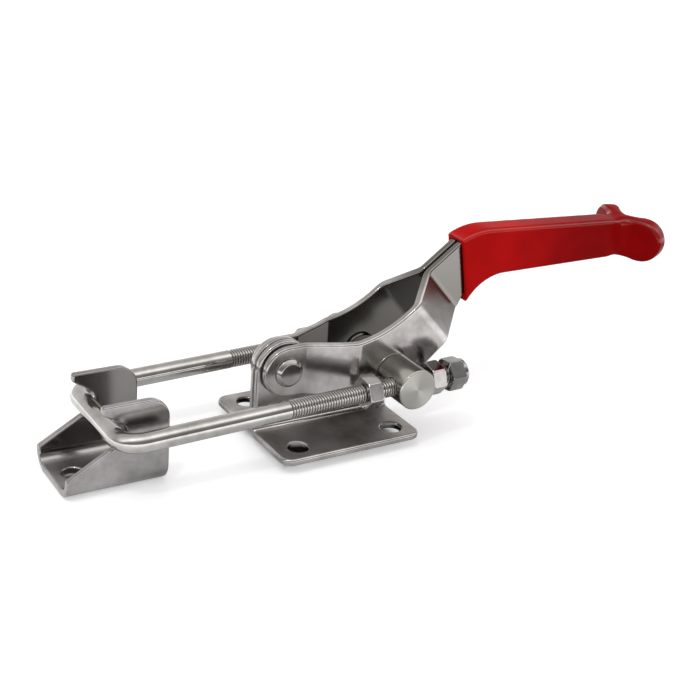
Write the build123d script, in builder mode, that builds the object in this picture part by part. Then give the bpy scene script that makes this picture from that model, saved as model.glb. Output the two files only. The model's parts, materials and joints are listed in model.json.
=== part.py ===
# Over centre toggle latch: a riveted two-plate handle draws an adjustable U-bolt into a hooked keeper.
# X runs from the keeper to the grip, Z stands up from the mounting face.
# The origin is the centre of the base's four screw holes, on the mounting face.

import os
from math import acos, atan2, cos, degrees, hypot, radians, sin, sqrt, tan

from build123d import *

# Sheet and rod stock
base_sheet = 3.2
handle_sheet = 3.5
keeper_sheet = 3.2
bend_radius = 2.0
rod_diameter = 8.0
thread_root_diameter = 6.8
running_clearance = 0.08
side_clearance = 0.2

# Base plates
base_half_width = 32.6
base_corner_radius = 5.0
base_hole_diameter = 8.6
base_hole_spacing_x = 46.0
base_side_margin = 9.6
base_front_margin = 11.0
base_back_margin = 10.1
base_hole_spacing_y = 2 * (base_half_width - base_side_margin)
base_front_x = -base_hole_spacing_x / 2 - base_front_margin
base_back_x = base_hole_spacing_x / 2 + base_back_margin
wall_lug_radius = 12.8
wall_back_height = 9.0

# Pivot, trunnion axis and crossbar when the latch is closed
pivot_x = -20.1
pivot_z = 29.5
trunnion_x = 27.2
trunnion_z = 24.9
crossbar_x = -101.8
crossbar_z = 21.6

# Pivot rivet and bush
rivet_diameter = 8.0
rivet_head_diameter = 12.6
rivet_head_height = 2.2
rivet_head_chamfer = 1.5
bush_diameter = 11.0

# Handle plates
handle_lug_radius = 11.3
boss_radius = 10.0
cheek_half_gap = 12.0
joggle_start_x = -11.5
joggle_end_x = 9.0
joggle_bend_radius = 5.0
arm_top_z = 41.0
arm_rise_x = 1.0
shoulder_x = 34.0
shoulder_z = 52.4
neck_x = 47.5
neck_z = 63.0
fold_x = 35.4
fold_z = 55.5
fold_angle = 42.7
fold_run = 15.4
fold_bend_radius = 6.0
seam_setback = 4.0
blade_half_gap = 0.4
blade_start_x = 80.0
blade_end_x = 161.8
blade_bottom_z = 61.2
blade_start_height = 17.8
blade_end_height = 13.6
blade_start_top_z = blade_bottom_z + blade_start_height
blade_end_top_z = blade_bottom_z + blade_end_height
blade_bottom_run = 10.0
grip_entry_run = 15.5
grip_entry_drop = 3.4
blade_bottom_start_x = blade_start_x + blade_bottom_run
grip_entry_top_x = blade_start_x - grip_entry_run
grip_entry_top_z = blade_start_top_z - grip_entry_drop
rear_corner_x = 67.2
rear_corner_z = 46.2
grip_setback = 2.4
grip_heel_height = 3.3
grip_entry_bottom_z = rear_corner_z + grip_heel_height

# Flared handle end
flare_angle = 67.0
flare_length = 18.6
flare_overlap = 1.2
flare_drop = 0.8
flare_rise = 1.2
flare_bottom_z = blade_bottom_z - flare_drop
flare_top_z = blade_end_top_z + flare_rise

# Dipped grip
coat = 2.2
coat_edge_radius = 1.6

# Trunnions
trunnion_diameter = 18.0
trunnion_overhang = 7.7
trunnion_shank_diameter = 12.0
trunnion_head_diameter = 16.0
trunnion_head_height = 1.6
trunnion_edge_chamfer = 0.5

# Draw bolt
rod_half_spacing = 26.6
trunnion_end_y = rod_half_spacing + trunnion_overhang
bolt_bend_radius = 9.0
thread_start = -58.3
bolt_tail = 28.0
thread_end_chamfer = 0.6
rod_hole_clearance = 0.1

# Nuts, with places measured along the bolt from the trunnion axis
nut_flats = 13.0
nut_height = 6.5
nut_chamfer = 0.9
front_nut_gap = 7.4
rear_nut_gap = 0.15
lock_nut_gap = 3.2
lock_nut_hex_height = 7.0
lock_nut_height = 9.8
lock_nut_collar_diameter = 12.0
lock_nut_chamfer = 1.1
lock_ring_height = 2.0
lock_ring_diameter = 9.4
lock_nut_lip = 0.5
thread_clearance = 0.05
front_nut_turn = 8.0
rear_nut_turn = 10.0
lock_nut_turn = 52.0

# Keeper
keeper_left_x = -121.0
keeper_right_x = -78.7
keeper_half_width = 17.6
keeper_bottom_z = -4.0
keeper_top_z = 34.4
keeper_bend_radius = 5.0
keeper_ear_radius = 9.0
keeper_tip_x = -106.6
keeper_tip_radius = 1.4
keeper_hole_x = -112.2
keeper_hole_spacing = 24.0
keeper_hole_diameter = 8.6
lower_jaw_angle = 30.0
upper_jaw_angle = 33.0
throat_clearance = 0.8
throat_shift_x = 0.28
throat_shift_z = 0.43


def direction(angle):
    """Unit vector in the XZ plane at an angle above +X, in degrees."""
    return (cos(radians(angle)), sin(radians(angle)))


def polar(centre, radius, angle):
    """Point at a radius and an angle about a centre, in the XZ plane."""
    across, up = direction(angle)
    return (centre[0] + radius * across, centre[1] + radius * up)


def cross_plane(y):
    """Plane across the latch at a given Y, drawn in X and Z, with its normal to -Y."""
    return Plane(origin=(0, y, 0), x_dir=(1, 0, 0), z_dir=(0, -1, 0))


# Values that several pieces share
rod_radius = rod_diameter / 2
pivot = (pivot_x, pivot_z)
trunnion = (trunnion_x, trunnion_z)
bolt_angle = degrees(atan2(trunnion_z - crossbar_z, trunnion_x - crossbar_x))
bolt_reach = hypot(trunnion_x - crossbar_x, trunnion_z - crossbar_z)
bolt_across = (cos(radians(bolt_angle)), 0, sin(radians(bolt_angle)))
bolt_up = (-sin(radians(bolt_angle)), 0, cos(radians(bolt_angle)))
bolt_plane = Plane(origin=(trunnion_x, 0, trunnion_z), x_dir=bolt_across, z_dir=bolt_up)
lug_inner_y = base_sheet + side_clearance
lug_outer_y = lug_inner_y + handle_sheet
cheek_outer_y = cheek_half_gap + handle_sheet
blade_outer_y = blade_half_gap + handle_sheet
bush_radius = bush_diameter / 2
rivet_radius = rivet_diameter / 2
shank_radius = trunnion_shank_diameter / 2

# Base plate: a flange and a standing wall folded from one sheet
with BuildPart() as base_plate_near:
    with BuildSketch(Plane.YZ.offset(base_front_x)):
        with BuildLine():
            wall_top_z = pivot_z + wall_lug_radius
            outer_bend = bend_radius + base_sheet
            FilletPolyline((-base_half_width, 0), (0, 0), (0, wall_top_z), radius=outer_bend)
            Line((0, wall_top_z), (-base_sheet, wall_top_z))
            FilletPolyline(
                (-base_sheet, wall_top_z),
                (-base_sheet, base_sheet),
                (-base_half_width, base_sheet),
                radius=bend_radius,
            )
            Line((-base_half_width, base_sheet), (-base_half_width, 0))
        make_face()
    extrude(amount=base_back_x - base_front_x)
    with BuildSketch(cross_plane(0)):
        with BuildLine():
            foot_z = outer_bend
            wall_front_x = pivot_x - wall_lug_radius
            slope_run = base_back_x - pivot_x
            slope_reach = hypot(slope_run, wall_back_height - pivot_z)
            slope_normal = degrees(
                atan2(wall_back_height - pivot_z, slope_run) + acos(wall_lug_radius / slope_reach)
            )
            slope_top = polar(pivot, wall_lug_radius, slope_normal)
            Polyline(
                slope_top,
                (base_back_x, wall_back_height),
                (base_back_x, 0),
                (base_front_x, 0),
                (base_front_x, foot_z),
                (wall_front_x, foot_z),
                (wall_front_x, pivot_z),
            )
            CenterArc(pivot, wall_lug_radius, 180, slope_normal - 180)
        make_face()
    extrude(amount=base_half_width, mode=Mode.INTERSECT)
    with BuildSketch(Plane.XY):
        with Locations((0, -base_hole_spacing_y / 2)):
            with GridLocations(base_hole_spacing_x, 0, 2, 1):
                Circle(base_hole_diameter / 2)
    extrude(amount=base_sheet, mode=Mode.SUBTRACT)
    with BuildSketch(cross_plane(0)):
        with Locations(pivot):
            Circle(bush_radius + running_clearance)
    extrude(amount=base_sheet, mode=Mode.SUBTRACT)
    flange_corners = base_plate_near.edges().filter_by(Axis.Z).group_by(Axis.Y)[0]
    fillet(flange_corners, radius=base_corner_radius)

with BuildPart() as base_plate_far:
    mirror(base_plate_near.part, about=Plane.XZ)

# Bush that spaces the handle plates and turns in both walls
with BuildPart() as pivot_bush:
    with BuildSketch(cross_plane(lug_inner_y)):
        with Locations(pivot):
            Circle(bush_radius)
            Circle(rivet_radius, mode=Mode.SUBTRACT)
    extrude(amount=2 * lug_inner_y)

# Rivet through both handle plates, with a flat-topped head on each side
with BuildPart() as pivot_rivet:
    with BuildSketch(cross_plane(lug_outer_y)):
        with Locations(pivot):
            Circle(rivet_radius)
    extrude(amount=2 * lug_outer_y)
    for head_side in (-1, 1):
        with BuildSketch(cross_plane(head_side * lug_outer_y)):
            with Locations(pivot):
                Circle(rivet_head_diameter / 2)
        extrude(amount=-head_side * rivet_head_height)
    head_rims = [
        pivot_rivet.edges().filter_by(GeomType.CIRCLE).sort_by(Axis.Y)[0],
        pivot_rivet.edges().filter_by(GeomType.CIRCLE).sort_by(Axis.Y)[-1],
    ]
    chamfer(head_rims, length=rivet_head_chamfer)

# Side outline that both handle plates are cut to
arm_run = trunnion_x - pivot_x
arm_drop = trunnion_z - pivot_z
arm_angle = degrees(atan2(arm_drop, arm_run))
arm_normal = arm_angle - degrees(acos((handle_lug_radius - boss_radius) / hypot(arm_run, arm_drop)))
rear_run = rear_corner_x - trunnion_x
rear_rise = rear_corner_z - trunnion_z
rear_normal = degrees(atan2(rear_rise, rear_run) - acos(boss_radius / hypot(rear_run, rear_rise)))
arm_top_start = (pivot_x, pivot_z + handle_lug_radius)

with BuildSketch(cross_plane(0)) as handle_outline:
    with BuildLine():
        CenterArc(pivot, handle_lug_radius, 90, 270 + arm_normal)
        Line(polar(pivot, handle_lug_radius, arm_normal), polar(trunnion, boss_radius, arm_normal))
        CenterArc(trunnion, boss_radius, arm_normal, rear_normal - arm_normal)
        Line(polar(trunnion, boss_radius, rear_normal), (rear_corner_x, rear_corner_z))
        TangentArc(
            (blade_bottom_start_x, blade_bottom_z),
            (rear_corner_x, rear_corner_z),
            tangent=(-1, 0),
        )
        Polyline(
            (blade_bottom_start_x, blade_bottom_z),
            (blade_end_x, blade_bottom_z),
            (blade_end_x, blade_end_top_z),
            (blade_start_x, blade_start_top_z),
        )
        TangentArc(
            (blade_start_x, blade_start_top_z),
            (grip_entry_top_x, grip_entry_top_z),
            tangent=(blade_start_x - blade_end_x, blade_start_top_z - blade_end_top_z),
        )
        Polyline((grip_entry_top_x, grip_entry_top_z), (neck_x, neck_z), (shoulder_x, shoulder_z))
        arm_top_end = (arm_rise_x, arm_top_z)
        TangentArc(arm_top_end, (shoulder_x, shoulder_z), tangent=(1, 0))
        Line(arm_top_end, arm_top_start)
    make_face()

# Fold line that leans across the handle, where the cheeks close into the blade
fold_across = (cos(radians(fold_angle)), 0, sin(radians(fold_angle)))
fold_up = (-sin(radians(fold_angle)), 0, cos(radians(fold_angle)))
fold_plane = Plane(origin=(fold_x, 0, fold_z), x_dir=fold_across, z_dir=fold_up)
seam_plane = Plane(origin=(fold_x, 0, fold_z), z_dir=fold_across).offset(-seam_setback)
lug_mid_y = lug_inner_y + handle_sheet / 2
cheek_mid_y = cheek_half_gap + handle_sheet / 2
blade_mid_y = blade_half_gap + handle_sheet / 2
plate_reach = 120.0

# Plane of the flared end, drawn outwards and up, with its normal across the sheet
flare_across = (cos(radians(flare_angle)), sin(radians(flare_angle)), 0)
flare_normal = (sin(radians(flare_angle)), -cos(radians(flare_angle)), 0)
flare_mid_z = (flare_top_z + flare_bottom_z) / 2
flare_origin = (blade_end_x, blade_mid_y, flare_mid_z)
flare_plane = Plane(origin=flare_origin, x_dir=flare_across, z_dir=flare_normal)


def flare(margin):
    """Flared end on the +Y side with a round tip, grown by a margin all round."""
    tip_radius = (flare_top_z - flare_bottom_z) / 2
    flat_length = flare_length - tip_radius
    with BuildPart() as blank:
        with BuildSketch(flare_plane):
            with Locations((-flare_overlap, 0)):
                Rectangle(
                    flat_length + flare_overlap,
                    2 * (tip_radius + margin),
                    align=(Align.MIN, Align.CENTER),
                )
            with Locations((flat_length, 0)):
                Circle(tip_radius + margin)
        extrude(amount=handle_sheet / 2 + margin, both=True)
    return blank.part


# Handle plate: lug, joggle, cheek, folded-in blade and flared end
with BuildPart() as handle_plate_far:
    with BuildSketch(Plane.XY):
        with BuildLine():
            FilletPolyline(
                (pivot_x - plate_reach, lug_mid_y),
                (joggle_start_x, lug_mid_y),
                (joggle_end_x, cheek_mid_y),
                (plate_reach, cheek_mid_y),
                radius=joggle_bend_radius,
            )
            offset(amount=handle_sheet / 2, side=Side.BOTH)
        make_face()
    extrude(amount=plate_reach)
    split(bisect_by=seam_plane, keep=Keep.BOTTOM)
    with BuildSketch(fold_plane):
        with BuildLine():
            FilletPolyline(
                (-2 * seam_setback, cheek_mid_y),
                (0, cheek_mid_y),
                (fold_run, blade_mid_y),
                (plate_reach, blade_mid_y),
                radius=fold_bend_radius,
            )
            offset(amount=handle_sheet / 2, side=Side.BOTH)
        make_face()
    extrude(amount=plate_reach, both=True)
    extrude(handle_outline.sketch, amount=-plate_reach, mode=Mode.INTERSECT)
    add(flare(0))
    with BuildSketch(cross_plane(lug_outer_y)):
        with Locations(pivot):
            Circle(rivet_radius + running_clearance / 2)
    extrude(amount=handle_sheet, mode=Mode.SUBTRACT)
    with BuildSketch(cross_plane(cheek_outer_y)):
        with Locations(trunnion):
            Circle(shank_radius + running_clearance)
    extrude(amount=handle_sheet, mode=Mode.SUBTRACT)

with BuildPart() as handle_plate_near:
    mirror(handle_plate_far.part, about=Plane.XZ)

# Dipped grip: one soft skin over the blades and flared ends of both plates
with BuildPart() as grip_sleeve:
    with BuildSketch(cross_plane(0)):
        add(handle_outline.sketch_local)
        offset(amount=coat)
        with BuildLine():
            grip_entry_bottom_x = rear_corner_x + grip_setback
            entry_run = grip_entry_bottom_x - grip_entry_top_x
            entry_drop = grip_entry_bottom_z - grip_entry_top_z
            Polyline(
                (grip_entry_top_x - entry_run, grip_entry_top_z - entry_drop),
                (blade_end_x + coat, grip_entry_top_z - entry_drop),
                (blade_end_x + coat, grip_entry_bottom_z + entry_drop),
                (grip_entry_bottom_x + entry_run, grip_entry_bottom_z + entry_drop),
                close=True,
            )
        make_face(mode=Mode.INTERSECT)
    extrude(amount=blade_outer_y + coat, both=True)
    near_rims = grip_sleeve.edges().group_by(Axis.Y)[0].sort_by(Axis.X)
    far_rims = grip_sleeve.edges().group_by(Axis.Y)[-1].sort_by(Axis.X)
    fillet(near_rims[1:] + far_rims[1:], radius=coat_edge_radius)
    with BuildPart(mode=Mode.PRIVATE) as grip_lobe:
        add(flare(coat))
        lobe_faces = grip_lobe.faces().filter_by(GeomType.PLANE).sort_by(SortBy.AREA)[-2:]
        lobe_rims = lobe_faces.edges()
        fillet(lobe_rims - lobe_rims.filter_by(Axis.Z), radius=coat_edge_radius)
    add(grip_lobe.part)
    mirror(grip_lobe.part, about=Plane.XZ)
    extrude(handle_outline.sketch, amount=blade_outer_y, both=True, mode=Mode.SUBTRACT)
    add(flare(0), mode=Mode.SUBTRACT)
    mirror(flare(0), about=Plane.XZ, mode=Mode.SUBTRACT)


def rod_plane(along):
    """Plane square to the draw bolt, at a distance from the trunnion axis, with Y and up in it."""
    return Plane(origin=bolt_plane.from_local_coords((along, 0, 0)), x_dir=(0, 1, 0), z_dir=bolt_across)


# Trunnion: barrel outside the handle plate, shank through it and a peened head inside
with BuildPart() as trunnion_far:
    barrel_start_y = cheek_outer_y + running_clearance
    head_start_y = cheek_half_gap - running_clearance
    barrel_radius = trunnion_diameter / 2
    with BuildSketch(cross_plane(trunnion_end_y)):
        with Locations(trunnion):
            Circle(barrel_radius)
    extrude(amount=trunnion_end_y - barrel_start_y)
    barrel_rims = trunnion_far.edges().filter_by(GeomType.CIRCLE)
    chamfer(barrel_rims, length=trunnion_edge_chamfer)
    with BuildSketch(cross_plane(barrel_start_y)):
        with Locations(trunnion):
            Circle(shank_radius)
    extrude(amount=barrel_start_y - head_start_y)
    with BuildSketch(cross_plane(head_start_y)):
        with Locations(trunnion):
            Circle(trunnion_head_diameter / 2)
    extrude(amount=trunnion_head_height)
    head_rim = trunnion_far.edges().filter_by(GeomType.CIRCLE).sort_by(Axis.Y)[0]
    chamfer(head_rim, length=trunnion_head_height / 2)
    with BuildSketch(rod_plane(-trunnion_diameter)):
        with Locations((rod_half_spacing, 0)):
            Circle(rod_radius + rod_hole_clearance)
    extrude(amount=2 * trunnion_diameter, mode=Mode.SUBTRACT)

with BuildPart() as trunnion_near:
    mirror(trunnion_far.part, about=Plane.XZ)

# Draw bolt: one rod bent to a U, with its threaded ends left at the root of the thread
with BuildPart() as draw_bolt:
    with BuildLine(bolt_plane) as bolt_path:
        FilletPolyline(
            (thread_start, -rod_half_spacing),
            (-bolt_reach, -rod_half_spacing),
            (-bolt_reach, rod_half_spacing),
            (thread_start, rod_half_spacing),
            radius=bolt_bend_radius,
        )
    with BuildSketch(rod_plane(thread_start)):
        with Locations((-rod_half_spacing, 0)):
            Circle(rod_radius)
    sweep(path=bolt_path.line)
    with BuildSketch(rod_plane(thread_start)):
        with GridLocations(2 * rod_half_spacing, 0, 2, 1):
            Circle(thread_root_diameter / 2)
    extrude(amount=bolt_tail - thread_start)
    tail_rims = draw_bolt.edges().filter_by(GeomType.CIRCLE).sort_by(Axis.X)[-2:]
    chamfer(tail_rims, length=thread_end_chamfer)


def hex_nut(side, start, height, turn):
    """Plain nut on one leg of the draw bolt, from a place along it, with its corners chamfered."""
    with BuildPart() as nut:
        with BuildSketch(rod_plane(start)):
            with Locations((side * rod_half_spacing, 0)):
                Circle(nut_flats / sqrt(3))
        extrude(amount=height)
        chamfer(nut.edges().filter_by(GeomType.CIRCLE), length=nut_chamfer, length2=nut_chamfer / 2)
        with BuildSketch(rod_plane(start)):
            with Locations((side * rod_half_spacing, 0)):
                RegularPolygon(nut_flats / 2, 6, major_radius=False, rotation=turn)
        extrude(amount=height, mode=Mode.INTERSECT)
        with BuildSketch(rod_plane(start)):
            with Locations((side * rod_half_spacing, 0)):
                Circle(thread_root_diameter / 2 + thread_clearance)
        extrude(amount=height, mode=Mode.SUBTRACT)
    return nut


# Front and rear nuts on both legs
front_nut_start = -barrel_radius - front_nut_gap - nut_height
rear_nut_start = barrel_radius + rear_nut_gap
lock_nut_start = rear_nut_start + nut_height + lock_nut_gap
front_nut_near = hex_nut(-1, front_nut_start, nut_height, front_nut_turn)
front_nut_far = hex_nut(1, front_nut_start, nut_height, front_nut_turn)
rear_nut_near = hex_nut(-1, rear_nut_start, nut_height, rear_nut_turn)
rear_nut_far = hex_nut(1, rear_nut_start, nut_height, rear_nut_turn)


def lock_nut(side):
    """Self-locking nut: a hexagon with a round collar that is crimped over its nylon ring."""
    collar_start = lock_nut_start + lock_nut_hex_height
    collar_height = lock_nut_height - lock_nut_hex_height
    with BuildPart() as nut:
        with BuildSketch(rod_plane(collar_start)):
            with Locations((side * rod_half_spacing, 0)):
                Circle(lock_nut_collar_diameter / 2)
        extrude(amount=collar_height)
        collar_rim = nut.edges().filter_by(GeomType.CIRCLE).sort_by(Axis.X)[-1]
        chamfer(collar_rim, length=lock_nut_chamfer)
        add(hex_nut(side, lock_nut_start, lock_nut_hex_height, lock_nut_turn).part)
        with BuildSketch(rod_plane(lock_nut_start)):
            with Locations((side * rod_half_spacing, 0)):
                Circle(thread_root_diameter / 2 + thread_clearance)
        extrude(amount=lock_nut_height, mode=Mode.SUBTRACT)
        with BuildSketch(rod_plane(lock_ring_start)):
            with Locations((side * rod_half_spacing, 0)):
                Circle(lock_ring_diameter / 2)
        extrude(amount=lock_ring_height, mode=Mode.SUBTRACT)
    return nut


def lock_ring(side):
    """Nylon ring held in the collar of a lock nut."""
    with BuildPart() as ring:
        with BuildSketch(rod_plane(lock_ring_start)):
            with Locations((side * rod_half_spacing, 0)):
                Circle(lock_ring_diameter / 2)
                Circle(thread_root_diameter / 2 + thread_clearance, mode=Mode.SUBTRACT)
        extrude(amount=lock_ring_height)
    return ring


# Lock nuts and their rings
lock_ring_start = lock_nut_start + lock_nut_height - lock_ring_height - lock_nut_lip
lock_nut_near = lock_nut(-1)
lock_nut_far = lock_nut(1)
lock_ring_near = lock_ring(-1)
lock_ring_far = lock_ring(1)

# Keeper: a folded channel with a hooked ear on each wall
with BuildPart() as keeper:
    with BuildSketch(Plane.YZ.offset(keeper_left_x)):
        with BuildLine():
            inner_half_width = keeper_half_width - keeper_sheet
            FilletPolyline(
                (-keeper_half_width, keeper_top_z),
                (-keeper_half_width, keeper_bottom_z),
                (keeper_half_width, keeper_bottom_z),
                (keeper_half_width, keeper_top_z),
                radius=keeper_bend_radius + keeper_sheet,
            )
            keeper_floor_z = keeper_bottom_z + keeper_sheet
            Line((keeper_half_width, keeper_top_z), (inner_half_width, keeper_top_z))
            FilletPolyline(
                (inner_half_width, keeper_top_z),
                (inner_half_width, keeper_floor_z),
                (-inner_half_width, keeper_floor_z),
                (-inner_half_width, keeper_top_z),
                radius=keeper_bend_radius,
            )
            Line((-inner_half_width, keeper_top_z), (-keeper_half_width, keeper_top_z))
        make_face()
    extrude(amount=keeper_right_x - keeper_left_x)
    with BuildSketch(cross_plane(0)) as keeper_side:
        with BuildLine():
            throat = (crossbar_x + throat_shift_x, crossbar_z + throat_shift_z)
            throat_radius = rod_radius + throat_clearance
            throat_sweep = 180 - lower_jaw_angle - upper_jaw_angle
            lower_x, lower_z = polar(throat, throat_radius, lower_jaw_angle - 90)
            upper_x, upper_z = polar(throat, throat_radius, 90 - upper_jaw_angle)
            toe_z = lower_z - (lower_x - keeper_left_x) * tan(radians(lower_jaw_angle))
            tip_z = upper_z + (upper_x - keeper_tip_x) * tan(radians(upper_jaw_angle))
            CenterArc(throat, throat_radius, lower_jaw_angle - 90, throat_sweep)
            Polyline(
                (upper_x, upper_z),
                (keeper_tip_x, tip_z),
                (keeper_tip_x, keeper_top_z),
                (keeper_right_x, keeper_top_z),
                (keeper_right_x, keeper_bottom_z),
                (keeper_left_x, keeper_bottom_z),
                (keeper_left_x, toe_z),
                (lower_x, lower_z),
            )
        make_face()
        ear_corner = keeper_side.vertices().group_by(Axis.Y)[-1].sort_by(Axis.X)[-1]
        fillet(ear_corner, radius=keeper_ear_radius)
        tip_corners = keeper_side.vertices().filter_by_position(
            Axis.X, keeper_tip_x - keeper_tip_radius / 2, keeper_tip_x + keeper_tip_radius / 2
        )
        fillet(tip_corners, radius=keeper_tip_radius)
    extrude(amount=keeper_half_width, both=True, mode=Mode.INTERSECT)
    with BuildSketch(Plane.XY.offset(keeper_bottom_z)):
        with Locations((keeper_hole_x + keeper_hole_spacing / 2, 0)):
            with GridLocations(keeper_hole_spacing, 0, 2, 1):
                Circle(keeper_hole_diameter / 2)
    extrude(amount=keeper_sheet, mode=Mode.SUBTRACT)

pieces = {
    "base_plate_near": base_plate_near,
    "base_plate_far": base_plate_far,
    "pivot_bush": pivot_bush,
    "pivot_rivet": pivot_rivet,
    "handle_plate_near": handle_plate_near,
    "handle_plate_far": handle_plate_far,
    "grip_sleeve": grip_sleeve,
    "trunnion_near": trunnion_near,
    "trunnion_far": trunnion_far,
    "draw_bolt": draw_bolt,
    "front_nut_near": front_nut_near,
    "front_nut_far": front_nut_far,
    "rear_nut_near": rear_nut_near,
    "rear_nut_far": rear_nut_far,
    "lock_nut_near": lock_nut_near,
    "lock_nut_far": lock_nut_far,
    "lock_ring_near": lock_ring_near,
    "lock_ring_far": lock_ring_far,
    "keeper": keeper,
}

os.makedirs("parts", exist_ok=True)
for name, piece in pieces.items():
    piece.part.label = name
    export_step(piece.part, f"parts/{name}.step")
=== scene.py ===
import json
import math

import bpy
from mathutils import Matrix, Vector

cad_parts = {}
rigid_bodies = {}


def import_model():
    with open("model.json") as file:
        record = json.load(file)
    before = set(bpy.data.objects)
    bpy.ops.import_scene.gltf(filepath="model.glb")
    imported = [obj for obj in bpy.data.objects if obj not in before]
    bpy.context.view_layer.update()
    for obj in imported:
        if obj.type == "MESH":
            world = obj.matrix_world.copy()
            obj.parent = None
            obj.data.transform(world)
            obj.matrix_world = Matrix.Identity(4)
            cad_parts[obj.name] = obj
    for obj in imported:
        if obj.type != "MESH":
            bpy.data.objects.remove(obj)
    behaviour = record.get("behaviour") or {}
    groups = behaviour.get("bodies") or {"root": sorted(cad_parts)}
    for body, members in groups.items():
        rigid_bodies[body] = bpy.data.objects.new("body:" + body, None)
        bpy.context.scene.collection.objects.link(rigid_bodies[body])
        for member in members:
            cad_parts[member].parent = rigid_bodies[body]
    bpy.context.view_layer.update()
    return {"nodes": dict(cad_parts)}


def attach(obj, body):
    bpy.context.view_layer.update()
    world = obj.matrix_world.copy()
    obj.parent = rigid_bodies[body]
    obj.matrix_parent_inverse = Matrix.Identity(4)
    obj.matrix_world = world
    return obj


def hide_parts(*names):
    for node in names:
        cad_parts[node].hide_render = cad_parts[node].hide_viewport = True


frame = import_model()
cadNodes = frame["nodes"]
mm = 0.001


# Shader maths as Python expressions

class Signal:
    # One output socket that can be added, multiplied and so on
    def __init__(self, finish, socket):
        self.finish = finish
        self.socket = socket

    def maths(self, operation, *values):
        inputs = dict(enumerate(values))
        return self.finish.add("ShaderNodeMath", {"operation": operation}, inputs)

    def __add__(self, other):
        return self.maths("ADD", self, other)

    def __sub__(self, other):
        return self.maths("SUBTRACT", self, other)

    def __rsub__(self, other):
        return self.maths("SUBTRACT", other, self)

    def __mul__(self, other):
        return self.maths("MULTIPLY", self, other)

    def __pow__(self, other):
        return self.maths("POWER", self, other)

    def size(self):
        return self.maths("ABSOLUTE", self)

    def sign(self):
        return self.maths("SIGN", self)

    def cosine(self):
        return self.maths("COSINE", self)

    def angleOver(self, other):
        return self.maths("ARCTAN2", self, other)

    def larger(self, other):
        return self.maths("MAXIMUM", self, other)

    def clamped(self, low=0.0, high=1.0):
        return self.maths("MINIMUM", self.larger(low), high)

    def between(self, low, high):
        # 0 at low and below, 1 at high and above
        inputs = {"Value": self, "From Min": low, "From Max": high}
        return self.finish.add("ShaderNodeMapRange", {"clamp": True}, inputs)


class Finish:
    # A material, or the world, with its node tree
    def __init__(self, owner, outputKind="ShaderNodeOutputMaterial"):
        owner.use_nodes = True
        self.owner = owner
        self.tree = owner.node_tree
        self.tree.nodes.clear()
        self.output = self.tree.nodes.new(outputKind)

    def add(self, kind, settings=None, inputs=None, output=0):
        node = self.tree.nodes.new(kind)
        for name, value in (settings or {}).items():
            if name == "stops":
                self.setStops(node, value)
            else:
                setattr(node, name, value)
        for name, value in (inputs or {}).items():
            if isinstance(value, Signal):
                self.tree.links.new(value.socket, node.inputs[name])
            else:
                node.inputs[name].default_value = value
        return Signal(self, node.outputs[output])

    def setStops(self, node, stops):
        elements = node.color_ramp.elements
        while len(elements) < len(stops):
            elements.new(0.5)
        for element, (position, colour) in zip(elements, stops):
            element.position = position
            element.color = (*colour, 1.0)

    def surface(self, shader):
        self.tree.links.new(shader.socket, self.output.inputs["Surface"])

    def place(self, scale=(1, 1, 1), turn=(0, 0, 0), shift=(0, 0, 0)):
        # Object coordinates, in metres, stretched or turned
        inputs = {"Scale": scale, "Rotation": [math.radians(a) for a in turn], "Location": shift}
        coordinates = self.add("ShaderNodeTexCoord", output="Object")
        return self.add("ShaderNodeMapping", None, {"Vector": coordinates, **inputs})

    def noise(self, where, scale, detail=2.0, roughness=0.5):
        inputs = {"Vector": where, "Scale": scale, "Detail": detail, "Roughness": roughness}
        return self.add("ShaderNodeTexNoise", None, inputs, "Fac")

    def mixColour(self, amount, first, second):
        settings = {"data_type": "RGBA"}
        inputs = {0: amount, 6: first, 7: second}
        return self.add("ShaderNodeMix", settings, inputs, 2)

    def bump(self, height, distance, strength=1.0):
        inputs = {"Height": height, "Distance": distance, "Strength": strength}
        return self.add("ShaderNodeBump", None, inputs)

    def axisOf(self, where, axis):
        return self.add("ShaderNodeSeparateXYZ", None, {0: where}, axis)


def newFinish(name):
    return Finish(bpy.data.materials.new(name))


# Modelling helpers

modelling = {
    "mergeDistance": 0.003 * mm,
    "flatAngle": math.radians(0.6),
    "edgeAngle": math.radians(28),
    "smoothAngle": math.radians(40),
    "normalWeight": 60,
}


def selectOnly(piece):
    for other in bpy.context.scene.objects:
        other.select_set(other == piece)
    bpy.context.view_layer.objects.active = piece


def applyModifier(piece, kind, settings):
    selectOnly(piece)
    modifier = piece.modifiers.new(kind.lower(), kind)
    for name, value in settings.items():
        setattr(modifier, name, value)
    bpy.ops.object.modifier_apply(modifier=modifier.name)


def cleanCopy(nodeName, pieceName):
    # The CAD solid as one closed mesh, with its flat faces whole
    piece = bpy.data.objects.new(pieceName, cadNodes[nodeName].data.copy())
    bpy.context.scene.collection.objects.link(piece)
    selectOnly(piece)
    if piece.data.has_custom_normals:
        bpy.ops.mesh.customdata_custom_splitnormals_clear()
    bpy.ops.object.mode_set(mode="EDIT")
    bpy.ops.mesh.select_all(action="SELECT")
    bpy.ops.mesh.remove_doubles(threshold=modelling["mergeDistance"])
    bpy.ops.mesh.dissolve_limited(angle_limit=modelling["flatAngle"])
    bpy.ops.object.mode_set(mode="OBJECT")
    return piece


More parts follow.
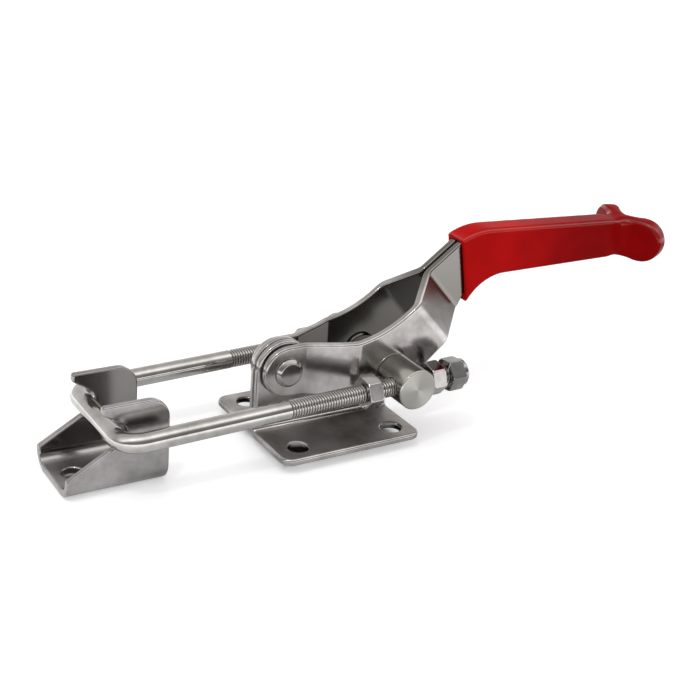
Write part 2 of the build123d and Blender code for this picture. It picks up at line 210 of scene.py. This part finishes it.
def rounded(nodeName, pieceName, look):
    # A copy of a CAD solid with its edges broken, as stamping and tumbling leave them
    piece = cleanCopy(nodeName, pieceName)
    edges = {
        "width": look["edgeRadius"] * mm,
        "segments": look["edgeSteps"],
        "limit_method": "ANGLE",
        "angle_limit": modelling["edgeAngle"],
        "use_clamp_overlap": False,
        "miter_outer": "MITER_ARC",
        "harden_normals": False,
    }
    applyModifier(piece, "BEVEL", edges)
    selectOnly(piece)
    bpy.ops.object.shade_smooth_by_angle(angle=modelling["smoothAngle"])
    applyModifier(piece, "WEIGHTED_NORMAL", {"keep_sharp": True, "weight": modelling["normalWeight"]})
    return piece


def putOn(piece, body, material, slotName, *replaced):
    piece.data.materials.clear()
    piece.data.materials.append(material)
    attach(piece, body)
    if replaced:
        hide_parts(*replaced)


# Camera

viewpoint = {
    "place": (-0.2720, -0.42995, 0.25891),
    "turn": (66.4833, -4.0878, -30.7143),
    "focalPixels": 1302.0,
    "centre": (327.0, 340.7),
    "framePixels": 700.0,
    "sensor": 36.0,
    "clip": (0.01, 20.0),
}
cameraData = bpy.data.cameras.new("viewpoint")
camera = bpy.data.objects.new("viewpoint", cameraData)
bpy.context.scene.collection.objects.link(camera)
camera.location = viewpoint["place"]
camera.rotation_euler = [math.radians(a) for a in viewpoint["turn"]]
cameraData.sensor_width = viewpoint["sensor"]
cameraData.lens = viewpoint["focalPixels"] / viewpoint["framePixels"] * viewpoint["sensor"]
cameraData.shift_x = 0.5 - viewpoint["centre"][0] / viewpoint["framePixels"]
cameraData.shift_y = viewpoint["centre"][1] / viewpoint["framePixels"] - 0.5
cameraData.clip_start, cameraData.clip_end = viewpoint["clip"]
bpy.context.scene.camera = camera
print("camera placed")


# Studio: a white sweep, soft lamps, and a bright strip and a dark wall for the steel to mirror

studio = {
    "aim": (0.02, 0.0, 0.04),
    "floorSize": 6.0,
    "floorHeight": -4.02 * mm,
    "floorColour": (0.80, 0.80, 0.80, 1.0),
    # the painted shadow colour of the floor under the base and the keeper
    "paintedShadowColour": (0.12, 0.11, 0.10, 1.0),
    "nearGlow": 0.42,
    "farGlow": 1.05,
    "glowReach": (0.25, 1.00),
    "mirroredGlow": 1.10,
    "mirroredReach": (0.06, 0.26),
    "worldFill": 0.42,
    "mirroredPeak": 2.2,
    "endwise": 0.55,
    "endwiseReach": (0.70, 0.97),
    "warmth": (1.0, 0.985, 0.97),
    "paintedShadowEdge": 5 * mm,
}
# place, edge length, power and whether it shows in reflections
lamps = {
    "key": ((-0.45, -0.31, 1.00), 0.90, 4.6, False),
    "side": ((0.85, -0.60, 0.55), 0.60, 2.2, False),
    "back": ((0.10, 0.95, 0.80), 0.80, 3.0, False),
    "glint": ((-0.45, -0.31, 0.98), 0.055, 1.2, True),
}
# centre, half length and half width of the floor under the base and the keeper, which gets a painted shadow
footprints = [
    ((0.0, 0.0), 31.0 * mm, 26.0 * mm),
    ((-100.2 * mm, 0.0), 19.0 * mm, 8.0 * mm),
]
# what steel mirrors, by the angle over the near horizon: the horizon strip, the dark wall, the roof light
mirroredRoom = [
    (-180, 0.45),
    (-2, 0.60),
    (0, 0.95),
    (7, 0.95),
    (14, 0.16),
    (22, 0.12),
    (40, 0.16),
    (50, 0.32),
    (60, 0.74),
    (72, 0.95),
    (84, 0.64),
    (97, 0.44),
    (111, 0.32),
    (126, 0.32),
    (145, 0.36),
    (165, 0.44),
    (180, 0.45),
]


def areaLamp(name, place, edge, power, mirrored):
    lampData = bpy.data.lights.new(name, "AREA")
    lampData.shape = "SQUARE"
    lampData.size = edge
    lampData.energy = power
    lamp = bpy.data.objects.new(name, lampData)
    bpy.context.scene.collection.objects.link(lamp)
    lamp.location = place
    lamp.rotation_euler = (Vector(place) - Vector(studio["aim"])).to_track_quat("Z", "Y").to_euler()
    lamp.visible_glossy = mirrored


for lampName, lampSettings in lamps.items():
    areaLamp(lampName, *lampSettings)


def sweepFinish():
    paper = newFinish("whiteSweep")
    seen = paper.add("ShaderNodeLightPath", output="Is Camera Ray")
    glossy = paper.add("ShaderNodeLightPath", output="Is Glossy Ray")
    clear = paper.add("ShaderNodeLightPath", output="Is Transmission Ray")
    where = paper.place()
    x = paper.axisOf(where, 0)
    y = paper.axisOf(where, 1)
    reach = (x * x + y * y) ** 0.5
    glow = reach.between(*studio["glowReach"]) * (studio["farGlow"] - studio["nearGlow"]) + studio["nearGlow"]
    # painted shadow: the floor turns dark and stops glowing under the pieces that lie on it, as seen through
    # their holes
    outsidePaintedShadow = 1.0
    for centre, halfLength, halfWidth in footprints:
        outside = ((x - centre[0]).size() - halfLength).larger((y - centre[1]).size() - halfWidth)
        outsidePaintedShadow = outside.between(-studio["paintedShadowEdge"], 0.0) * outsidePaintedShadow
    mirroredGlow = reach.between(*studio["mirroredReach"]) * studio["mirroredGlow"]
    strength = (seen * glow + (glossy + clear) * mirroredGlow) * outsidePaintedShadow
    light = paper.add("ShaderNodeEmission", None, {"Color": (1, 1, 1, 1), "Strength": strength})
    colour = paper.mixColour(outsidePaintedShadow, studio["paintedShadowColour"], studio["floorColour"])
    matt = paper.add("ShaderNodeBsdfDiffuse", None, {"Color": colour})
    paper.surface(paper.add("ShaderNodeAddShader", None, {0: matt, 1: light}))
    return paper.owner


selectOnly(None)
bpy.ops.mesh.primitive_plane_add(size=studio["floorSize"], location=(0, 0, 0))
floor = bpy.context.active_object
floor.name = "floor"
floor.location.z = studio["floorHeight"]
floor.data.materials.append(sweepFinish())

world = bpy.data.worlds.new("studio")
bpy.context.scene.world = world
room = Finish(world, "ShaderNodeOutputWorld")
direction = room.add("ShaderNodeTexCoord", output="Generated")
acrossX = room.axisOf(direction, 0)
nearward = room.axisOf(direction, 1) * -1.0
height = room.axisOf(direction, 2)
turn = height.angleOver(nearward) * (0.5 / math.pi) + 0.5
roomStops = [(0.5 + angle / 360, [light * w for w in studio["warmth"]]) for angle, light in mirroredRoom]
mirrored = room.add("ShaderNodeValToRGB", {"stops": roomStops}, {"Fac": turn})
endwise = (studio["endwise"] / studio["mirroredPeak"],) * 3 + (1.0,)
mirrored = room.mixColour((acrossX * acrossX).between(*studio["endwiseReach"]), mirrored, endwise)
seen = room.add("ShaderNodeLightPath", output="Is Camera Ray")
glossy = room.add("ShaderNodeLightPath", output="Is Glossy Ray")
clearRays = room.add("ShaderNodeLightPath", output="Is Transmission Ray")
fill = (studio["worldFill"],) * 3 + (1.0,)
roomColour = room.mixColour(glossy, fill, mirrored)
roomColour = room.mixColour((seen + clearRays).clamped(), roomColour, (1.0, 1.0, 1.0, 1.0))
strength = glossy * (studio["mirroredPeak"] - 1.0) + 1.0
room.surface(room.add("ShaderNodeBackground", None, {"Color": roomColour, "Strength": strength}))
print("studio lit")

bpy.context.scene.view_settings.view_transform = "Standard"


# Finishes

def satinSheetFinish(name, bright, dull, innerShade):
    look = {
        "foldPlace": (35.4 * mm, 55.5 * mm),
        "foldTurn": math.radians(42.7),
        "foldRun": (2.0 * mm, 15.4 * mm),
        # painted shade colour for the handle from its fold on towards the blade
        "blade": (0.20, 0.19, 0.177, 1.0),
        "leastRoughness": 0.12,
        "roughnessSpread": 0.09,
        "grainRoughness": 0.04,
        "lyingRoughness": 0.20,
        "lyingHeight": (4.0 * mm, 6.0 * mm),
        "lyingReach": (0.8, 0.95),
        "inwardShadeReach": (0.2, 0.8),
        "cloudScale": 70.0,
        "cloudReach": (0.35, 0.68),
        "grainScale": 2600.0,
        "grainDepth": 0.0007 * mm,
        "waveScale": 55.0,
        "waveDepth": 0.20 * mm,
    }
    steel = newFinish(name)
    where = steel.place()
    clouds = steel.noise(where, look["cloudScale"], 4.0, 0.6)
    grain = steel.noise(where, look["grainScale"], 2.0, 0.6)
    waves = steel.noise(where, look["waveScale"], 1.0)
    colour = steel.mixColour(clouds.between(*look["cloudReach"]), bright, dull)
    # painted shade: the handle's colour grows darker from its fold on towards the blade
    along = (steel.axisOf(where, 0) - look["foldPlace"][0]) * math.cos(look["foldTurn"])
    up = (steel.axisOf(where, 2) - look["foldPlace"][1]) * math.sin(look["foldTurn"])
    colour = steel.mixColour((along + up).between(*look["foldRun"]), colour, look["blade"])
    # painted shade: faces that look towards the middle get a dark colour, standing in for the shade and dim
    # reflections between the cheeks
    outward = steel.add("ShaderNodeTexCoord", output="Normal")
    facing = steel.axisOf(outward, 1)
    side = steel.axisOf(where, 1)
    inwardShade = (facing * side.sign() * -1.0).between(*look["inwardShadeReach"])
    colour = steel.mixColour(inwardShade, colour, innerShade)
    # the flat feet are scuffed and mirror less sharply
    lying = steel.axisOf(outward, 2).between(*look["lyingReach"])
    lying = lying * (1.0 - steel.axisOf(where, 2).between(*look["lyingHeight"]))
    roughness = clouds * look["roughnessSpread"] + grain * look["grainRoughness"] + look["leastRoughness"]
    roughness = lying * look["lyingRoughness"] + roughness
    coarse = steel.bump(waves, look["waveDepth"], 0.6)
    normal = steel.add(
        "ShaderNodeBump",
        None,
        {"Height": grain, "Distance": look["grainDepth"], "Strength": 0.5, "Normal": coarse},
    )
    inputs = {"Base Color": colour, "Metallic": 1.0, "Roughness": roughness, "Normal": normal}
    steel.surface(steel.add("ShaderNodeBsdfPrincipled", None, inputs))
    return steel.owner


def drawnRodFinish():
    look = {
        "bright": (0.50, 0.49, 0.475, 1.0),
        "dull": (0.36, 0.35, 0.335, 1.0),
        "leastRoughness": 0.05,
        "roughnessSpread": 0.05,
        "streakScale": 900.0,
        "streakStretch": 0.02,
        "streakDepth": 0.0015 * mm,
        "stainScale": 120.0,
        "stainReach": (0.4, 0.75),
    }
    steel = newFinish("drawnRod")
    along = steel.place(scale=(look["streakStretch"], 1.0, 1.0))
    streaks = steel.noise(along, look["streakScale"], 3.0, 0.6)
    stains = steel.noise(steel.place(), look["stainScale"], 3.0, 0.6)
    colour = steel.mixColour(stains.between(*look["stainReach"]), look["bright"], look["dull"])
    spread = look["roughnessSpread"]
    roughness = streaks * spread + stains * spread + look["leastRoughness"]
    normal = steel.bump(streaks, look["streakDepth"], 0.6)
    inputs = {"Base Color": colour, "Metallic": 1.0, "Roughness": roughness, "Normal": normal}
    steel.surface(steel.add("ShaderNodeBsdfPrincipled", None, inputs))
    return steel.owner


def turnedFinish(name, centre, axis, look):
    # Fine rings round the axis that the piece was turned on, and the wedges of sheen that they give, painted
    # into the colour as painted sheen
    steel = newFinish(name)
    where = steel.place(shift=[-c for c in centre])
    across = [steel.axisOf(where, a) for a in range(3) if a != axis]
    reach = (across[0] * across[0] + across[1] * across[1]) ** 0.5
    # painted sheen: the colour goes from dull to bright in wedges round the axis
    paintedSheen = (across[1].angleOver(across[0]) * 2.0 + look["sheenTurn"]).cosine() * 0.5 + 0.5
    rings = steel.noise(steel.add("ShaderNodeCombineXYZ", None, {0: reach}), look["ringScale"], 3.0, 0.7)
    colour = steel.mixColour(paintedSheen ** 2.0, look["dull"], look["bright"])
    if "darkWithin" in look:
        # painted shade: the peened heads between the cheeks get a dark colour
        outer = steel.axisOf(where, axis).size().between(look["darkWithin"], look["darkWithin"] + mm)
        colour = steel.mixColour(outer, look["headShade"], colour)
    normal = steel.bump(rings, look["ringDepth"], 1.0)
    inputs = {
        "Base Color": colour,
        "Metallic": 1.0,
        "Roughness": rings * look["roughnessSpread"] + look["leastRoughness"],
        "Normal": normal,
    }
    steel.surface(steel.add("ShaderNodeBsdfPrincipled", None, inputs))
    return steel.owner


def nutFinish(name, bright, dull):
    look = {
        "markScale": 700.0,
        "markDepth": 0.003 * mm,
        "stainScale": 160.0,
        "stainReach": (0.35, 0.7),
        "leastRoughness": 0.07,
        "roughnessSpread": 0.08,
    }
    steel = newFinish(name)
    where = steel.place()
    marks = steel.noise(where, look["markScale"], 3.0, 0.6)
    stains = steel.noise(where, look["stainScale"], 2.0)
    colour = steel.mixColour(stains.between(*look["stainReach"]), bright, dull)
    inputs = {
        "Base Color": colour,
        "Metallic": 1.0,
        "Roughness": marks * look["roughnessSpread"] + look["leastRoughness"],
        "Normal": steel.bump(marks, look["markDepth"], 0.5),
    }
    steel.surface(steel.add("ShaderNodeBsdfPrincipled", None, inputs))
    return steel.owner


def rubberDipFinish():
    look = {
        "red": (0.56, 0.007, 0.007, 1.0),
        "shadedDeepRed": (0.27, 0.003, 0.004, 1.0),
        "shadeRun": (88 * mm, 138 * mm),
        "shadeShare": 0.7,
        "swellShare": 0.6,
        "shadeAndToneReach": (0.15, 1.0),
        "leastRoughness": 0.13,
        "roughnessSpread": 0.10,
        "rimStart": (0.10, 0.35),
        "rimEnd": (0.75, 0.95),
        "rimRoughness": 0.08,
        "ior": 1.06,
        "swellScale": 70.0,
        "swellDepth": 0.12 * mm,
        "skinScale": 1500.0,
        "skinDepth": 0.004 * mm,
    }
    dip = newFinish("rubberDip")
    where = dip.place()
    swell = dip.noise(where, look["swellScale"], 2.0)
    skin = dip.noise(where, look["skinScale"], 2.0)
    # painted shade: the red darkens along the grip from its entry inwards, and the swell noise adds tone that
    # differs at random
    shadeAlong = dip.axisOf(where, 0).between(*look["shadeRun"])
    shadeAndTone = shadeAlong * look["shadeShare"] + swell * look["swellShare"]
    colour = dip.mixColour(shadeAndTone.between(*look["shadeAndToneReach"]), look["red"], look["shadedDeepRed"])
    coarse = dip.bump(swell, look["swellDepth"], 0.5)
    normal = dip.add(
        "ShaderNodeBump",
        None,
        {"Height": skin, "Distance": look["skinDepth"], "Strength": 0.4, "Normal": coarse},
    )
    # the dip draws thin and glossy over the rims
    upward = dip.axisOf(dip.add("ShaderNodeTexCoord", output="Normal"), 2)
    rim = upward.between(*look["rimStart"]) * (1.0 - upward.between(*look["rimEnd"]))
    inputs = {
        "Base Color": colour,
        "Roughness": skin * look["roughnessSpread"] + look["leastRoughness"],
        "Normal": normal,
        "IOR": look["ior"],
        "Coat Weight": rim,
        "Coat Roughness": look["rimRoughness"],
    }
    dip.surface(dip.add("ShaderNodeBsdfPrincipled", None, inputs))
    return dip.owner


def nylonFinish():
    look = {
        "pale": (0.62, 0.64, 0.63, 1.0),
        "grey": (0.48, 0.50, 0.50, 1.0),
        "mottleScale": 900.0,
        "leastRoughness": 0.4,
        "roughnessSpread": 0.2,
    }
    nylon = newFinish("nylonRing")
    mottle = nylon.noise(nylon.place(), look["mottleScale"], 2.0)
    colour = nylon.mixColour(mottle, look["pale"], look["grey"])
    inputs = {"Base Color": colour, "Roughness": mottle * look["roughnessSpread"] + look["leastRoughness"]}
    nylon.surface(nylon.add("ShaderNodeBsdfPrincipled", None, inputs))
    return nylon.owner


axes = {
    "pivot": (-20.1 * mm, 0.0, 29.5 * mm),
    "trunnion": (27.2 * mm, 0.0, 24.9 * mm),
    "crossbar": (-101.8 * mm, 0.0, 21.6 * mm),
    "rodHalfSpacing": 26.6 * mm,
}
boltRun = Vector(axes["trunnion"]) - Vector(axes["crossbar"])
# bright and dull colours, and the painted shade colour of faces that look inward
sheetColours = ((0.54, 0.515, 0.51, 1.0), (0.30, 0.285, 0.272, 1.0), (0.12, 0.115, 0.105, 1.0))
keeperColours = ((0.42, 0.40, 0.405, 1.0), (0.25, 0.24, 0.24, 1.0), (0.28, 0.27, 0.26, 1.0))
satinSheet = satinSheetFinish("satinSheet", *sheetColours)
keeperSheet = satinSheetFinish("keeperSheet", *keeperColours)
drawnRod = drawnRodFinish()
trunnionLook = {
    "ringScale": 5200.0,
    "ringDepth": 0.002 * mm,
    "sheenTurn": 1.6,
    "bright": (0.50, 0.49, 0.455, 1.0),
    "dull": (0.33, 0.325, 0.30, 1.0),
    "leastRoughness": 0.15,
    "roughnessSpread": 0.10,
    "darkWithin": 12.5 * mm,
    # painted shade colour for the peened heads between the cheeks
    "headShade": (0.10, 0.098, 0.09, 1.0),
}
rivetLook = {
    "ringScale": 5200.0,
    "ringDepth": 0.001 * mm,
    "sheenTurn": 0.4,
    "bright": (0.40, 0.38, 0.375, 1.0),
    "dull": (0.32, 0.305, 0.30, 1.0),
    "leastRoughness": 0.11,
    "roughnessSpread": 0.10,
}
turnedTrunnion = turnedFinish("turnedTrunnion", axes["trunnion"], 1, trunnionLook)
turnedRivet = turnedFinish("turnedRivet", axes["pivot"], 1, rivetLook)
brightNut = nutFinish("brightNut", (0.54, 0.52, 0.515, 1.0), (0.40, 0.39, 0.38, 1.0))
polishedNut = nutFinish("polishedNut", (0.31, 0.305, 0.30, 1.0), (0.20, 0.195, 0.19, 1.0))
rubberDip = rubberDipFinish()
nylonRing = nylonFinish()
print("finishes mixed")


# Sheet pieces with rounded edges

sheetLook = {"edgeRadius": 1.15, "edgeSteps": 4}
keeperLook = {"edgeRadius": 0.85, "edgeSteps": 4}
for side in ("near", "far"):
    plate = rounded("base_plate_" + side, "basePlate" + side.title(), sheetLook)
    putOn(plate, "base", satinSheet, "sheet_steel", "base_plate_" + side)
    plate = rounded("handle_plate_" + side, "handlePlate" + side.title(), sheetLook)
    putOn(plate, "handle", satinSheet, "sheet_steel", "handle_plate_" + side)
keeperPiece = rounded("keeper", "keeperHook", keeperLook)
putOn(keeperPiece, "base", keeperSheet, "sheet_steel", "keeper")
print("sheet pieces rounded")


# Rivet, trunnions and nuts

smallEdges = {"edgeRadius": 0.25, "edgeSteps": 3}
trunnionEdges = {"edgeRadius": 0.15, "edgeSteps": 2}
rivetPiece = rounded("pivot_rivet", "pivotRivet", smallEdges)
putOn(rivetPiece, "handle", turnedRivet, "turned_steel", "pivot_rivet")
for side in ("near", "far"):
    trunnionPiece = rounded("trunnion_" + side, "trunnion" + side.title(), trunnionEdges)
    putOn(trunnionPiece, "draw_bolt", turnedTrunnion, "turned_steel", "trunnion_" + side)
    nuts = (
        ("front_nut", "frontNut", brightNut),
        ("rear_nut", "rearNut", brightNut),
        ("lock_nut", "lockNut", polishedNut),
    )
    for kind, title, finish in nuts:
        nutPiece = rounded(kind + "_" + side, title + side.title(), smallEdges)
        putOn(nutPiece, "draw_bolt", finish, "nut_steel", kind + "_" + side)
print("rivet, trunnions and nuts done")


# Draw bolt with rolled threads on its ends

boltThread = {
    "pitch": 1.25 * mm,
    "rootRadius": 3.37 * mm,
    "crestRadius": 4.0 * mm,
    "crestFlat": 0.16 * mm,
    "rootFlat": 0.22 * mm,
    "start": -58.3 * mm,
    "end": 27.8 * mm,
    "stepsPerTurn": 32,
    "taper": 1.4 * mm,
    "mergeDistance": 0.004 * mm,
    "smoothAngle": math.radians(30),
}


def threadSkin(pieceName, side):
    pitch = boltThread["pitch"]
    turns = int((boltThread["end"] - boltThread["start"]) / pitch) - 1
    selectOnly(None)
    bpy.ops.mesh.primitive_plane_add(size=1.0)
    skin = bpy.context.active_object
    skin.name = pieceName
    bpy.ops.object.mode_set(mode="EDIT")
    bpy.ops.mesh.select_all(action="SELECT")
    bpy.ops.mesh.delete(type="ONLY_FACE")
    bpy.ops.object.mode_set(mode="OBJECT")
    flank = (pitch - boltThread["crestFlat"] - boltThread["rootFlat"]) / 2
    corners = [
        (0.0, boltThread["rootRadius"]),
        (boltThread["rootFlat"], boltThread["rootRadius"]),
        (boltThread["rootFlat"] + flank, boltThread["crestRadius"]),
        (pitch - flank, boltThread["crestRadius"]),
    ]
    # the open square becomes one pitch of the profile, along X and out from the axis
    loop = [0, 1, 3, 2]
    for index, (along, out) in zip(loop, corners):
        skin.data.vertices[index].co = (along, 0.0, out)
    bpy.ops.object.mode_set(mode="EDIT")
    bpy.ops.mesh.select_mode(type="EDGE")
    bpy.ops.mesh.select_all(action="DESELECT")
    bpy.ops.object.mode_set(mode="OBJECT")
    for edge in skin.data.edges:
        edge.select = set(edge.vertices) == {loop[0], loop[3]}
    bpy.ops.object.mode_set(mode="EDIT")
    bpy.ops.mesh.delete(type="EDGE")
    bpy.ops.mesh.select_mode(type="VERT")
    bpy.ops.mesh.select_all(action="DESELECT")
    bpy.ops.object.mode_set(mode="OBJECT")
    last = max(range(4), key=lambda i: skin.data.vertices[i].co.x)
    skin.data.vertices[last].select = True
    bpy.ops.object.mode_set(mode="EDIT")
    rest = pitch - skin.data.vertices[last].co.x
    drop = boltThread["rootRadius"] - boltThread["crestRadius"]
    bpy.ops.mesh.extrude_region_move(TRANSFORM_OT_translate={"value": (rest, 0.0, drop)})
    bpy.ops.object.mode_set(mode="OBJECT")
    turning = {
        "axis": "X",
        "angle": math.radians(360),
        "screw_offset": pitch,
        "iterations": turns,
        "steps": boltThread["stepsPerTurn"],
        "render_steps": boltThread["stepsPerTurn"],
        "use_merge_vertices": True,
        "merge_threshold": boltThread["mergeDistance"],
        "use_normal_calculate": True,
    }
    applyModifier(skin, "SCREW", turning)
    bpy.ops.object.mode_set(mode="EDIT")
    bpy.ops.mesh.select_all(action="SELECT")
    bpy.ops.mesh.remove_doubles(threshold=boltThread["mergeDistance"])
    bpy.ops.mesh.select_all(action="DESELECT")
    bpy.ops.mesh.select_non_manifold()
    bpy.ops.mesh.fill()
    bpy.ops.mesh.select_all(action="SELECT")
    bpy.ops.mesh.normals_make_consistent(inside=False)
    bpy.ops.object.mode_set(mode="OBJECT")
    # the last ridges fade into the chamfer at the tail
    tail = max(v.co.x for v in skin.data.vertices)
    for vertex in skin.data.vertices:
        fade = min(1.0, (tail - vertex.co.x) / boltThread["taper"])
        out = math.hypot(vertex.co.y, vertex.co.z)
        want = boltThread["rootRadius"] + (out - boltThread["rootRadius"]) * max(fade, 0.0)
        if out > boltThread["rootRadius"]:
            vertex.co.y *= want / out
            vertex.co.z *= want / out
    tilt = -math.atan2(boltRun.z, boltRun.x)
    place = Matrix.Translation(Vector(axes["trunnion"]) + Vector((0, side * axes["rodHalfSpacing"], 0)))
    place = place @ Matrix.Rotation(tilt, 4, "Y") @ Matrix.Translation((boltThread["start"], 0, 0))
    skin.data.transform(place)
    selectOnly(skin)
    bpy.ops.object.shade_smooth_by_angle(angle=boltThread["smoothAngle"])
    return skin


def threadFinish(name, side):
    # Bright ridges and roots darkened with painted shade, by the distance from the rod's axis
    look = {
        "ridgeReach": (3.42 * mm, 3.92 * mm),
        "root": (0.10, 0.095, 0.09, 1.0),
        "crest": (0.50, 0.49, 0.47, 1.0),
        "grimeScale": 800.0,
        "grimeRoughness": 0.12,
        "rootRoughness": 0.25,
        "leastRoughness": 0.14,
    }
    steel = newFinish(name)
    slope = boltRun.z / boltRun.x
    where = steel.place()
    x = steel.axisOf(where, 0)
    y = steel.axisOf(where, 1) - side * axes["rodHalfSpacing"]
    z = steel.axisOf(where, 2) - (x * slope + (axes["trunnion"][2] - axes["trunnion"][0] * slope))
    reach = (y * y + z * z) ** 0.5
    ridge = reach.between(*look["ridgeReach"])
    grime = steel.noise(where, look["grimeScale"], 3.0, 0.6)
    # the dark root colour is painted shade in the thread's roots
    colour = steel.mixColour(ridge, look["root"], look["crest"])
    roughness = (1.0 - ridge) * look["rootRoughness"] + grime * look["grimeRoughness"]
    inputs = {"Base Color": colour, "Metallic": 1.0, "Roughness": roughness + look["leastRoughness"]}
    steel.surface(steel.add("ShaderNodeBsdfPrincipled", None, inputs))
    return steel.owner


rodPiece = cleanCopy("draw_bolt", "drawBoltRod")
selectOnly(rodPiece)
bpy.ops.object.shade_smooth_by_angle(angle=modelling["smoothAngle"])
putOn(rodPiece, "draw_bolt", drawnRod, "rod_steel", "draw_bolt")
for sideName, side in (("Near", -1), ("Far", 1)):
    threadPiece = threadSkin("boltThread" + sideName, side)
    putOn(threadPiece, "draw_bolt", threadFinish("rolledThread" + sideName, side), "rod_steel")
print("draw bolt threaded")


# Red dipped grip

gripLook = {
    "voxel": 0.55 * mm,
    "smoothing": 0.5,
    "passes": 14,
    "foldPlace": 161.5 * mm,
    "foldReach": 11 * mm,
    "foldPasses": 160,
}
gripPiece = cleanCopy("grip_sleeve", "dippedGrip")
applyModifier(gripPiece, "REMESH", {"mode": "VOXEL", "voxel_size": gripLook["voxel"]})
applyModifier(gripPiece, "SMOOTH", {"factor": gripLook["smoothing"], "iterations": gripLook["passes"]})
foldGroup = gripPiece.vertex_groups.new(name="fold")
for vertex in gripPiece.data.vertices:
    away = math.hypot(vertex.co.x - gripLook["foldPlace"], vertex.co.y) / gripLook["foldReach"]
    if away < 1.0:
        foldGroup.add([vertex.index], 1.0 - away ** 3, "REPLACE")
foldSoftening = {
    "factor": gripLook["smoothing"],
    "iterations": gripLook["foldPasses"],
    "vertex_group": foldGroup.name,
}
applyModifier(gripPiece, "SMOOTH", foldSoftening)
selectOnly(gripPiece)
bpy.ops.object.shade_smooth()
putOn(gripPiece, "handle", rubberDip, "grip_red", "grip_sleeve")
print("grip dipped")


# CAD pieces that stay

for nodeName, material in (
    ("pivot_bush", turnedRivet),
    ("lock_ring_near", nylonRing),
    ("lock_ring_far", nylonRing),
):
    slots = cadNodes[nodeName].data.materials
    slots.clear()
    slots.append(material)

for piece in bpy.context.scene.objects:
    piece.select_set(False)
